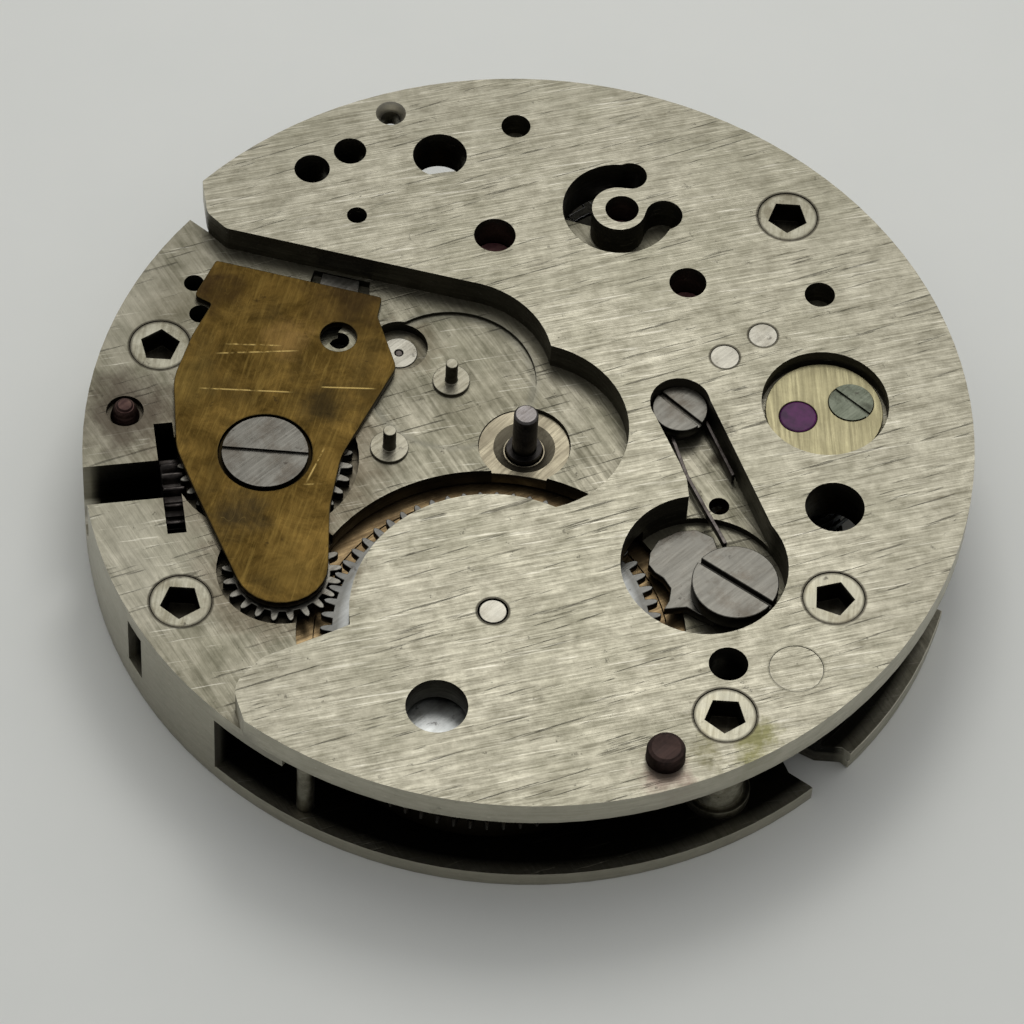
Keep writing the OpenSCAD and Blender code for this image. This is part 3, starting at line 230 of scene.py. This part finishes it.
class Finish:
    """One material: a Principled shader with coordinates in millimetres and the shared effects."""

    def __init__(self, name, metallic=1.0):
        self.material = bpy.data.materials.new(name)
        self.material.use_nodes = True
        tree = self.material.node_tree
        tree.nodes.clear()
        self.n = n = Nodes(tree)
        self.shader = n.add("ShaderNodeBsdfPrincipled")
        self.shader.inputs["Metallic"].default_value = metallic
        out = n.add("ShaderNodeOutputMaterial")
        tree.links.new(self.shader.outputs[0], out.inputs["Surface"])
        where = n.add("ShaderNodeTexCoord").outputs["Object"]
        self.point = n.add("ShaderNodeVectorMath", {0: where, 1: (1000, 1000, 1000)},
                           operation="MULTIPLY").outputs[0]
        parts = n.add("ShaderNodeSeparateXYZ", {0: self.point})
        self.x, self.y, self.z = parts.outputs[0], parts.outputs[1], parts.outputs[2]
        self.plan = n.add("ShaderNodeCombineXYZ", {0: self.x, 1: self.y}).outputs[0]
        geometry = n.add("ShaderNodeNewGeometry")
        tilt = n.math("ABSOLUTE", n.add("ShaderNodeSeparateXYZ",
                                        {0: geometry.outputs["True Normal"]}).outputs[2])
        self.flat = n.ramp(tilt, 0.9, 0.97)
        self.edge = n.math("MULTIPLY", n.ramp(tilt, 0.12, 0.3), n.ramp(tilt, 0.97, 0.9))
        self.ragged = None

    def link(self, value, key):
        self.n.tree.links.new(value, self.shader.inputs[key])

    def noise(self, scale, detail=4.0, rough=0.65, wobble=0.0):
        node = self.n.add("ShaderNodeTexNoise",
                          {"Vector": self.point, "Scale": scale, "Detail": detail,
                           "Roughness": rough, "Distortion": wobble})
        return node.outputs["Fac"]

    def lines(self, angle, along, across, point=None):
        """Brushing along angle. Along and across are how often it changes each way."""
        group = self.n.add("ShaderNodeGroup", node_tree=LINES)
        return self.fill(group, point, angle, {"Along": along, "Across": across})

    def hairs(self, angle):
        """Thin broken scratches near angle."""
        group = self.n.add("ShaderNodeGroup", node_tree=HAIRS)
        return self.fill(group, None, angle, {"Width": HAIR_WIDTH})

    def fill(self, group, point, angle, values):
        """Give a placed group its point, its angle in degrees and its values."""
        self.n.tree.links.new(point or self.point, group.inputs["Point"])
        for key, value in {"Angle": math.radians(-angle), **values}.items():
            group.inputs[key].default_value = value
        return group.outputs[0]

    def away(self, centre):
        """Distance in plan from centre."""
        node = self.n.add("ShaderNodeVectorMath", {0: self.plan, 1: (*centre, 0)},
                          operation="DISTANCE")
        return node.outputs["Value"]

    def tint(self, colour, mask, code, amount=None):
        """Lay code over colour where mask says, or by amount of it."""
        if amount is not None:
            mask = self.n.math("MULTIPLY", mask, amount)
        return self.n.mix(mask, colour, rgb(code))

    def walls(self):
        """Mask of the upright faces, without the bevelled edges."""
        level = self.n.math("MAXIMUM", self.flat, self.edge)
        return self.n.math("SUBTRACT", 1.0, level)

    def spot(self, colour, centre, inner, outer, code, amount):
        """Ragged patch of colour round centre."""
        if self.ragged is None:
            uneven = self.n.math("SUBTRACT", self.noise(1.5, 5.0), 0.5)
            self.ragged = self.n.math("MULTIPLY", uneven, 2.2)
        reach = self.n.math("ADD", self.away(centre), self.ragged)
        return self.tint(colour, self.n.ramp(reach, outer, inner, 0.0, amount), code)

    def band(self, colour, centre, radius, half, code, amount):
        """Circular line of the given half width round centre."""
        off = self.n.math("ABSOLUTE", self.n.math("SUBTRACT", self.away(centre), radius))
        return self.tint(colour, self.n.ramp(off, half, 0.3 * half, 0.0, amount), code)

    def stroke(self, start, end, width):
        """Mask of a straight scratch from start to end."""
        n = self.n
        length = math.dist(start, end)
        angle = math.atan2(end[1] - start[1], end[0] - start[0])
        moved = n.add("ShaderNodeVectorMath", {0: self.plan, 1: (*start, 0)},
                      operation="SUBTRACT")
        turned = n.add("ShaderNodeVectorRotate", {"Vector": moved.outputs[0], "Angle": -angle},
                       rotation_type="Z_AXIS")
        parts = n.add("ShaderNodeSeparateXYZ", {0: turned.outputs[0]})
        across = n.ramp(n.math("ABSOLUTE", parts.outputs[1]), width, 0.4 * width)
        along = n.math("MULTIPLY", n.ramp(parts.outputs[0], 0.0, 0.3),
                       n.ramp(parts.outputs[0], length, length - 0.3))
        return n.math("MULTIPLY", across, along)

    def bump(self, height, distance):
        node = self.n.add("ShaderNodeBump", {"Height": height, "Strength": 1.0,
                                             "Distance": distance * MM})
        self.link(node.outputs[0], "Normal")


# Materials

def share(n, *pairs):
    """Weighted sum of values."""
    total = None
    for value, weight in pairs:
        part = n.math("MULTIPLY", value, weight)
        total = part if total is None else n.math("ADD", total, part)
    return total


# Stains and light patches on the plate, and darkening round the crown and intermediate wheels:
# centre, inner and outer radius, colour, strength
PLATE_SPOTS = [
    (CROWN_AT, 2.7, 4.0, "4F4436", 0.55), (INTERMEDIATE_AT, 1.9, 2.7, "4F4436", 0.5),
    ((11.37, -2.54), 0.75, 1.7, "3F372F", 0.75), ((-4.6, 11.5), 0.35, 0.9, "5F5D3A", 0.85),
    ((-3.4, 11.8), 0.2, 0.7, "5A563C", 0.75), ((-2.2, 12.3), 0.3, 0.9, "6E5A54", 0.6),
    ((-5.58, 1.06), 0.0, 0.42, "332E26", 0.8), (THIRD_AT, 0.8, 1.3, "5B5344", 0.5),
    ((9.6, -6.2), 0.4, 1.6, "57503F", 0.35), ((0.9, -1.2), 1.2, 1.9, "6A6656", 0.3),
    ((12.4, 2.6), 1.2, 3.6, "BDB9AA", 0.22), ((11.6, -7.0), 0.6, 2.4, "B5B1A2", 0.3),
]

# Dark or dull circles on the plate: centre, radius, half width, colour, strength
PLATE_BANDS = [
    ((1.79, -2.58), 2.44, 0.2, "66645A", 0.55),
    *((centre, 0.91, 0.06, "2A261F", 0.8) for centre, top in STUDS),
    *((centre, 0.45, 0.045, "2E2A22", 0.8) for centre in BANKING_PINS_AT),
    (BARREL_AT, 0.46, 0.06, "221F19", 0.85), (PLUG_AT, 0.8, 0.03, "5E5B4E", 0.5),
]

# Stains and rubbed places on the cover, as on the plate
COVER_SPOTS = [
    ((6.42, -4.41), 0.1, 0.9, "735B34", 0.6), ((7.32, 3.76), 0.1, 1.1, "5E4C25", 0.6),
    ((5.6, -1.91), 0.1, 1.0, "231D11", 0.75), ((4.2, -5.9), 0.5, 1.8, "281E12", 0.75),
    ((8.5, 1.6), 0.1, 1.1, "262117", 0.7), ((8.6, -6.7), 0.3, 1.3, "281D11", 0.75),
    ((9.6, -3.2), 0.1, 1.2, "64532A", 0.4),
]

# Scribed scratches on the cover: start and end
COVER_SCRATCHES = [
    ((9.19, -2.94), (6.4, -2.46)), ((5.76, -2.58), (4.0, -2.31)), ((8.56, -4.14), (6.1, -3.95)),
    ((8.28, -4.46), (6.57, -4.19)), ((6.61, 0.84), (6.0, 0.89)), ((6.48, 0.81), (5.78, -0.4)),
]
SCRATCH_WIDTH = 0.035


def plate_finish(name, light, dark, floor_light, floor_dark, lit, dim, spots=(), bands=()):
    """Nickelled plate: brushed faces, a mottled recess floor painted darker than the top as
    painted shade, and painted shade on the walls and in the hollows inside.

    Its hollows have no painted shade at the level lit and full painted shade from the level dim
    on."""
    f = Finish(name)
    n = f.n
    cloud = f.noise(1.1, 5.0, 0.7)
    patch = f.noise(0.33, 3.0)
    top_lines = share(n, (f.lines(BRUSH_TOP, 0.6, 17.0), 0.4),
                      (f.lines(BRUSH_TOP + 4, 0.4, 5.0), 0.22),
                      (f.noise(1.9, 5.0, 0.75), 0.38))
    wall_point = n.add("ShaderNodeCombineXYZ", {0: n.math("MULTIPLY", f.x, 0.3), 1: f.z,
                                                2: n.math("MULTIPLY", f.y, 0.3)})
    wall_lines = share(n, (f.lines(0, 0.5, 9.0, wall_point.outputs[0]), 0.5), (cloud, 0.5))
    floor_lines = share(n, (f.lines(BRUSH_FLOOR, 0.5, 8.0), 0.45), (cloud, 0.55))
    on_floor = n.ramp(f.z, Z_FLOOR + 0.3, Z_FLOOR + 0.2)
    grain = n.mix(on_floor, top_lines, floor_lines)
    grain = n.mix(f.flat, wall_lines, grain)
    spread = n.ramp(grain, 0.36, 0.62)
    base = n.mix(spread, rgb(dark), rgb(light))
    # Painted shade: the recess floor takes darker colours than the top
    floor_base = n.mix(spread, rgb(floor_dark), rgb(floor_light))
    colour = n.mix(on_floor, base, floor_base)
    colour = f.tint(colour, n.ramp(patch, 0.42, 0.66, 0.0, 0.35), "6B6958")
    dark_hair = n.ramp(f.lines(BRUSH_TOP + 7, 0.35, 9.0), 0.63, 0.7)
    # Bright hairline scratches, lightened as painted glints
    scratch_glint = n.ramp(f.lines(BRUSH_TOP - 2, 0.5, 12.0), 0.62, 0.7)
    speck = n.ramp(f.noise(2.4, 4.0, 0.75), 0.66, 0.75)
    colour = f.tint(colour, speck, "38332A", 0.5)
    colour = f.tint(colour, dark_hair, "2C2922", 0.5)
    colour = f.tint(colour, scratch_glint, "C4C0B3", 0.5)
    for spot in spots:
        colour = f.spot(colour, *spot)
    for band in bands:
        colour = f.band(colour, *band)
    inside = n.ramp(f.away(CENTRE), HOLLOW_R, HOLLOW_R - 0.3)
    wall = n.math("SUBTRACT", 1.0, f.flat)
    # Painted light: the outer walls, outside the hollow radius, lightened as if lit from in front
    lit_rim = n.math("MULTIPLY", wall, n.math("SUBTRACT", 1.0, inside))
    colour = f.tint(colour, lit_rim, "CCC8B8", 0.5)
    # Painted shade in the hollows inside: none at the level lit, full from the level dim
    hollow = n.math("MULTIPLY", n.ramp(f.z, lit, dim), inside)
    # Painted shade on the upright walls inside, then the hollows' painted shade
    colour = f.tint(colour, n.math("MULTIPLY", wall, inside), "1C1A14", 0.66)
    colour = f.tint(colour, hollow, PAINTED_SHADE, 0.93)
    # Worn edges with a painted highlight: the bevelled edges lightened, except in the hollows
    wear_and_painted_light = n.math("MULTIPLY", f.edge, n.math("SUBTRACT", 1.0, hollow))
    colour = f.tint(colour, wear_and_painted_light, "CCC8BA", 0.7)
    f.link(colour, "Base Color")
    f.link(n.ramp(grain, 0.35, 0.65, 0.5, 0.36), "Roughness")
    height = n.math("SUBTRACT", grain, n.math("MULTIPLY", n.math("ADD", dark_hair, speck), 0.4))
    f.bump(height, 0.018)
    return f.material


def cover_finish():
    """Old brass: brown and olive clouds, bright rubbed places and a few scribed scratches."""
    f = Finish("aged_brass")
    n = f.n
    fine = f.lines(BRUSH_COVER, 0.9, 10.0)
    cloud = f.noise(0.8, 6.0, 0.7, 0.8)
    colour = n.mix(n.ramp(cloud, 0.34, 0.66), rgb("36290F"), rgb("5B4822"))
    colour = f.tint(colour, n.ramp(fine, 0.5, 0.72, 0.0, 0.45), "6F5B2E")
    colour = f.tint(colour, n.ramp(f.noise(0.42, 4.0), 0.5, 0.64, 0.0, 0.5), "261F10")
    for spot in COVER_SPOTS:
        colour = f.spot(colour, *spot)
    colour = f.tint(colour, f.hairs(BRUSH_COVER + 4), "8A7544", 0.45)
    scribed = None
    for start, end in COVER_SCRATCHES:
        one = f.stroke(start, end, SCRATCH_WIDTH)
        scribed = one if scribed is None else n.math("MAXIMUM", scribed, one)
    broken = n.math("MULTIPLY", scribed, n.ramp(f.noise(2.2, 3.0), 0.4, 0.52))
    colour = f.tint(colour, broken, "A28C56", 0.75)
    colour = f.tint(colour, n.ramp(f.noise(2.8, 3.0), 0.66, 0.74, 0.0, 0.6), "231B0F")
    colour = f.tint(colour, f.edge, "857042", 0.5)
    # Painted shade on the cover's upright walls
    colour = f.tint(colour, f.walls(), PAINTED_SHADE, 0.6)
    # Painted shade in the sink round the crown wheel, below the cover's top
    sink_shade = n.math("MULTIPLY", n.ramp(f.z, 3.8, 3.74), n.ramp(f.away(CROWN_AT), 1.45, 1.4))
    colour = f.tint(colour, sink_shade, PAINTED_SHADE, 0.9)
    f.link(colour, "Base Color")
    f.link(n.ramp(cloud, 0.3, 0.7, 0.5, 0.4), "Roughness")
    f.bump(share(n, (fine, 0.6), (cloud, 0.6), (broken, -0.4)), 0.01)
    return f.material


def brass_finish(name, light, dark, angle, stain, tarnish, outer=None):
    """Brass or a gilt part. Outer is the radius from which painted shade covers it."""
    f = Finish(name)
    n = f.n
    fine = f.lines(angle, 0.5, 9.0)
    cloud = f.noise(0.9, 5.0, 0.7, 0.5)
    grain = share(n, (fine, 0.5), (cloud, 0.5))
    colour = n.mix(n.ramp(grain, 0.38, 0.62), rgb(dark), rgb(light))
    colour = f.tint(colour, n.ramp(f.noise(0.7, 5.0), 0.46, 0.66, 0.0, tarnish), stain)
    colour = f.tint(colour, f.hairs(angle + 50), "3A3222", 0.35)
    # Painted shade from the radius outer outward, where the part runs into the dark gap under the
    # plate
    if outer is not None:
        colour = f.tint(colour, n.ramp(f.away(CENTRE), outer, outer + 0.5, 0.0, 0.93), PAINTED_SHADE)
    f.link(colour, "Base Color")
    f.link(n.ramp(fine, 0.3, 0.7, 0.46, 0.33), "Roughness")
    f.bump(grain, 0.008)
    return f.material


def steel_finish(name, light, dark, rough=0.36, angle=35.0, mottle=0.5, stain="40382F",
                 flank_shade=0.0, shade_levels=None, studs=(), wear_and_painted_light=None):
    """Steel: faint grain, brown mottling. Its pair of levels paints shade below the first level
    and none above the second.

    Its centre, inner and outer radius and amount paint shade on the face from the inner radius
    out, full at the outer, by that amount."""
    f = Finish(name)
    n = f.n
    fine = f.lines(angle, 0.6, 9.0)
    cloud = f.noise(1.5, 6.0, 0.7)
    grain = share(n, (fine, 0.35), (cloud, 0.65))
    colour = n.mix(n.ramp(grain, 0.38, 0.62), rgb(dark), rgb(light))
    colour = f.tint(colour, n.ramp(f.noise(0.95, 5.0, 0.7), 0.5, 0.66, 0.0, mottle), stain)
    colour = f.tint(colour, n.ramp(f.noise(3.2, 3.0), 0.64, 0.72, 0.0, 0.6), "2A2522")
    # Painted shade on the upright faces, such as tooth flanks
    if flank_shade:
        colour = f.tint(colour, f.walls(), PAINTED_SHADE, flank_shade)
    # Painted shade that grows from the upper level down to the lower one
    if shade_levels:
        below, above = shade_levels
        colour = f.tint(colour, n.ramp(f.z, above, below, 0.0, 0.88), PAINTED_SHADE)
    # Painted shade on the face from the inner radius out, full at the outer, where the ratchet
    # runs under the plate
    if wear_and_painted_light:
        centre, inner, outer, amount = wear_and_painted_light
        colour = f.tint(colour, n.ramp(f.away(centre), inner, outer, 0.0, amount), "2B2720")
    for centre, top in studs:
        # Painted shade down in each stud's socket, below the head's top
        socket_shade = n.math("MULTIPLY", n.ramp(f.away(centre), 0.66, 0.62),
                      n.ramp(f.z, top - 0.01, top - 0.12))
        colour = f.tint(colour, socket_shade, "15100A", 0.86)
        colour = f.band(colour, centre, 0.88, 0.09, "2B271F", 0.7)
    f.link(colour, "Base Color")
    f.link(n.ramp(cloud, 0.35, 0.65, rough - 0.05, rough + 0.1), "Roughness")
    f.bump(share(n, (fine, 0.5), (cloud, 0.6)), 0.008)
    return f.material


def jewel_finish(name, deep, light):
    """Synthetic ruby, dulled by dust."""
    f = Finish(name, metallic=0.0)
    n = f.n
    cloud = f.noise(1.4, 3.0)
    f.link(n.mix(n.ramp(cloud, 0.4, 0.65), rgb(deep), rgb(light)), "Base Color")
    f.shader.inputs["Roughness"].default_value = 0.34
    f.shader.inputs["IOR"].default_value = 1.42
    f.shader.inputs["Specular IOR Level"].default_value = 0.25
    f.bump(cloud, 0.003)
    return f.material


FINISHES = {
    # The plate's recess floor colours are painted darker than its top, as painted shade where its
    # brushing reflects less light
    "plate": plate_finish("nickelled_plate", "A09C8D", "6F6B5C", "858173", "5F5C4E",
                          lit=3.4, dim=2.7, spots=PLATE_SPOTS, bands=PLATE_BANDS),
    "back": plate_finish("nickelled_back", "9F9B8C", "726E60", "9F9B8C", "726E60",
                         lit=0.4, dim=0.5),
    "cover": cover_finish(),
    "gilt": brass_finish("gilt_brass", "A88D57", "7C643D", 20, "624D33", 0.4),
    "barrel": brass_finish("barrel_brass", "857254", "594A35", 20, "3A2F23", 0.7, outer=10.7),
    "pale": brass_finish("pale_brass", "8A8468", "706A53", 84, "6F694F", 0.35),
    "bush": brass_finish("pale_bush", "8A8371", "6A6354", 40, "5C5547", 0.35),
    "steel": steel_finish("grey_steel", "6D6B65", "4D4B46", flank_shade=0.55),
    "ratchet": steel_finish("ratchet_steel", "B0B2B1", "8C8E8C", mottle=0.3, stain="5C5548",
                            flank_shade=0.9, wear_and_painted_light=(BARREL_AT, 3.9, 4.4, 0.78)),
    "wheel": steel_finish("toothed_steel", "7A7871", "504D47", mottle=0.45, flank_shade=0.92),
    "post": steel_finish("post_steel", "928E80", "666255", mottle=0.4, stain="5A5548",
                         flank_shade=0.45),
    "arbor": steel_finish("arbor_steel", "7E7A79", "585453", flank_shade=0.3, shade_levels=(3.55, 4.3)),
    "cap_screw": steel_finish("green_steel", "676B5F", "43473D", mottle=0.75, stain="2E2F28"),
    # Steel painted dark: painted shade for the winding, sliding and third pinions, which sit under
    # other parts
    "dark": steel_finish("oiled_steel", "57524F", "2C2928", rough=0.32, mottle=0.6,
                         stain="231E1A"),
    "polished": steel_finish("polished_steel", "C4C4C8", "9C9CA2", rough=0.2, mottle=0.15),
    "bright": steel_finish("bright_steel", "A5A297", "75726A", mottle=0.4, stain="6A6558"),
    "stud": steel_finish("stud_nickel", "9C998A", "716D5E", angle=75, stain="5C5648",
                         studs=STUDS),
    "rust": steel_finish("tarnished_steel", "58453F", "352726", rough=0.42, mottle=0.7,
                         stain="261A18"),
    "black": steel_finish("blackened_stud", "4A3B37", "2F2725", rough=0.55, stain="241F1E"),
    "spring": steel_finish("spring_steel", "8D9299", "5A5E64", rough=0.28, mottle=0.3,
                           stain="4C4A48"),
    "ruby": jewel_finish("ruby", "7A1E4A", "9A3A68"),
    # Painted light: the brown jewels' colours are lightened against the shade at the bottom of
    # their holes
    "brown_jewel": jewel_finish("brown_ruby", "5E3A40", "84605E"),
    "violet": jewel_finish("violet_ruby", "38083A", "5E1A5A"),
}

# Finish and edge softening in millimetres of each CAD node
DRESS = {
    "main_plate": ("plate", 0.035), "back_plate": ("back", 0.03), "balance_cock": ("back", 0.03),
    "plate_studs": ("stud", 0.025), "back_screws": ("steel", 0.02),
    "cock_screw": ("steel", 0.02), "steady_pins": ("stud", 0.02),
    "keyless_cover": ("cover", 0.03), "cover_screw": ("steel", 0.03),
    "yoke_spring": ("steel", 0.01), "minute_post": ("post", 0.02),
    "setting_post": ("post", 0.02), "dial_foot_screw": ("rust", 0.03),
    "locating_stud": ("black", 0.14), "plate_plug": ("plate", 0.012),
    "banking_pins": ("bright", 0.015), "centre_bush": ("bush", 0.02),
    "third_bush": ("bright", 0.015), "plate_jewels": ("brown_jewel", 0.03),
    "back_bushes": ("gilt", 0.02), "back_jewels": ("ruby", 0.03),
    "balance_jewels": ("ruby", 0.03), "cap_plate": ("pale", 0.02), "cap_jewel": ("violet", 0.05),
    "cap_screw": ("cap_screw", 0.02), "barrel_drum": ("barrel", 0.01),
    "barrel_lid": ("barrel", 0.02), "mainspring": ("spring", 0.0),
    "barrel_arbor": ("bright", 0.02), "ratchet_wheel": ("ratchet", 0.02),
    "crown_wheel": ("wheel", 0.02), "intermediate_wheel": ("wheel", 0.02),
    "winding_pinion": ("dark", 0.02), "sliding_pinion": ("dark", 0.02), "yoke": ("steel", 0.015),
    "click": ("steel", 0.025), "click_screw": ("steel", 0.03), "click_spring": ("dark", 0.015),
    "click_spring_screw": ("steel", 0.02), "centre_wheel": ("gilt", 0.01),
    "centre_arbor": ("arbor", 0.02), "third_wheel": ("gilt", 0.01),
    "third_pinion": ("dark", 0.01), "fourth_wheel": ("gilt", 0.01),
    "fourth_pinion": ("polished", 0.01), "escape_wheel": ("polished", 0.008),
    "escape_pinion": ("polished", 0.01), "pallet_fork": ("polished", 0.01),
    "pallet_stones": ("ruby", 0.01), "pallet_staff": ("polished", 0.01),
    "balance_wheel": ("gilt", 0.02), "balance_staff": ("polished", 0.01),
    "hairspring_collet": ("gilt", 0.01), "roller": ("polished", 0.01),
    "impulse_pin": ("ruby", 0.01), "hairspring": ("spring", 0.0),
    "hairspring_stud": ("steel", 0.01), "regulator": ("steel", 0.012),
}


# Pieces

def softened(node, width):
    """Copy of a CAD node's mesh with flat faces joined and its edges rounded."""
    mesh = bpy.data.meshes.new(node + "_piece")
    bm = bmesh.new()
    bm.from_mesh(frame["nodes"][node].data)
    bmesh.ops.remove_doubles(bm, verts=bm.verts, dist=MERGE_DISTANCE)
    bmesh.ops.dissolve_limit(bm, angle_limit=math.radians(COPLANAR), verts=bm.verts,
                             edges=bm.edges, delimit={"NORMAL"})
    bm.to_mesh(mesh)
    bm.free()
    piece = bpy.data.objects.new(node + "_piece", mesh)
    bpy.context.scene.collection.objects.link(piece)
    if width > 0:
        bevel = piece.modifiers.new("edges", "BEVEL")
        bevel.width = width * MM
        bevel.segments = 2
        bevel.limit_method = "ANGLE"
        bevel.angle_limit = math.radians(BEVEL_FROM)
    bpy.context.view_layer.objects.active = piece
    bpy.ops.object.select_all(action="DESELECT")
    piece.select_set(True)
    for modifier in list(piece.modifiers):
        bpy.ops.object.modifier_apply(modifier=modifier.name)
    bpy.ops.object.shade_smooth_by_angle(angle=math.radians(SMOOTH_BELOW))
    for face in piece.data.polygons:
        face.use_smooth = abs(face.normal.z) < LEVEL_NORMAL
    even = piece.modifiers.new("even", "WEIGHTED_NORMAL")
    even.keep_sharp = True
    even.weight = 100
    bpy.ops.object.modifier_apply(modifier=even.name)
    return piece


def dress_nodes():
    """Put a softened, finished copy in the place of every CAD node."""
    for body, nodes in frame["record"]["behaviour"]["bodies"].items():
        for node in nodes:
            finish, width = DRESS[node]
            piece = softened(node, width)
            piece.data.materials.clear()
            piece.data.materials.append(FINISHES[finish])
            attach(piece, body)
            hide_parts(node)


# Stage

def add_floor():
    """Pale paper, a hair below the part."""
    half = 1200 * MM
    mesh = bpy.data.meshes.new("floor")
    mesh.from_pydata([(-half, -half, 0), (half, -half, 0), (half, half, 0), (-half, half, 0)],
                     [], [(0, 1, 2, 3)])
    floor = bpy.data.objects.new("floor", mesh)
    floor.location.z = -0.02 * MM
    bpy.context.scene.collection.objects.link(floor)
    f = Finish("paper", metallic=0.0)
    f.link(f.n.mix(f.noise(0.25, 3.0), rgb("E1E3E0"), rgb("E6E7E4")), "Base Color")
    f.shader.inputs["Roughness"].default_value = 0.8
    f.shader.inputs["Specular IOR Level"].default_value = 0.2
    mesh.materials.append(f.material)


def softbox(name, at, toward, size, power, colour):
    """Square light of a given size at a place, facing another, all in millimetres."""
    data = bpy.data.lights.new(name, "AREA")
    data.energy = power
    data.size = size * MM
    data.color = colour
    lamp = bpy.data.objects.new(name, data)
    lamp.location = Vector(at) * MM
    lamp.rotation_euler = (Vector(toward) - Vector(at)).to_track_quat("-Z", "Y").to_euler()
    lamp.visible_camera = False
    bpy.context.scene.collection.objects.link(lamp)


# Direction of the bright side of the room: behind the part, high up
WINDOW = (-0.14, -0.51, 0.85)
ROOM_DARK = (0.21, 0.21, 0.208, 1)
ROOM_BRIGHT = (1.17, 1.17, 1.15, 1)


def add_light():
    """A room that is bright on one side, and one warm lamp."""
    world = bpy.data.worlds.new("studio")
    bpy.context.scene.world = world
    world.use_nodes = True
    n = Nodes(world.node_tree)
    back = world.node_tree.nodes["Background"]
    toward = n.add("ShaderNodeTexCoord").outputs["Generated"]
    facing = n.add("ShaderNodeVectorMath", {0: toward, 1: WINDOW}, operation="DOT_PRODUCT")
    lobe = n.math("POWER", n.math("MAXIMUM", facing.outputs["Value"], 0.0), 2.5)
    sky = n.mix(lobe, ROOM_DARK, ROOM_BRIGHT)
    world.node_tree.links.new(sky, back.inputs["Color"])
    back.inputs["Strength"].default_value = 1.0
    softbox("glow", at=(-9.4, -28.5, 62.8), toward=(-0.8, 9.3, 4.5), size=25, power=0.0092,
            colour=(1.0, 0.99, 0.96))
    bpy.context.scene.view_settings.view_transform = "Standard"


add_camera()
add_light()
add_floor()
dress_nodes()
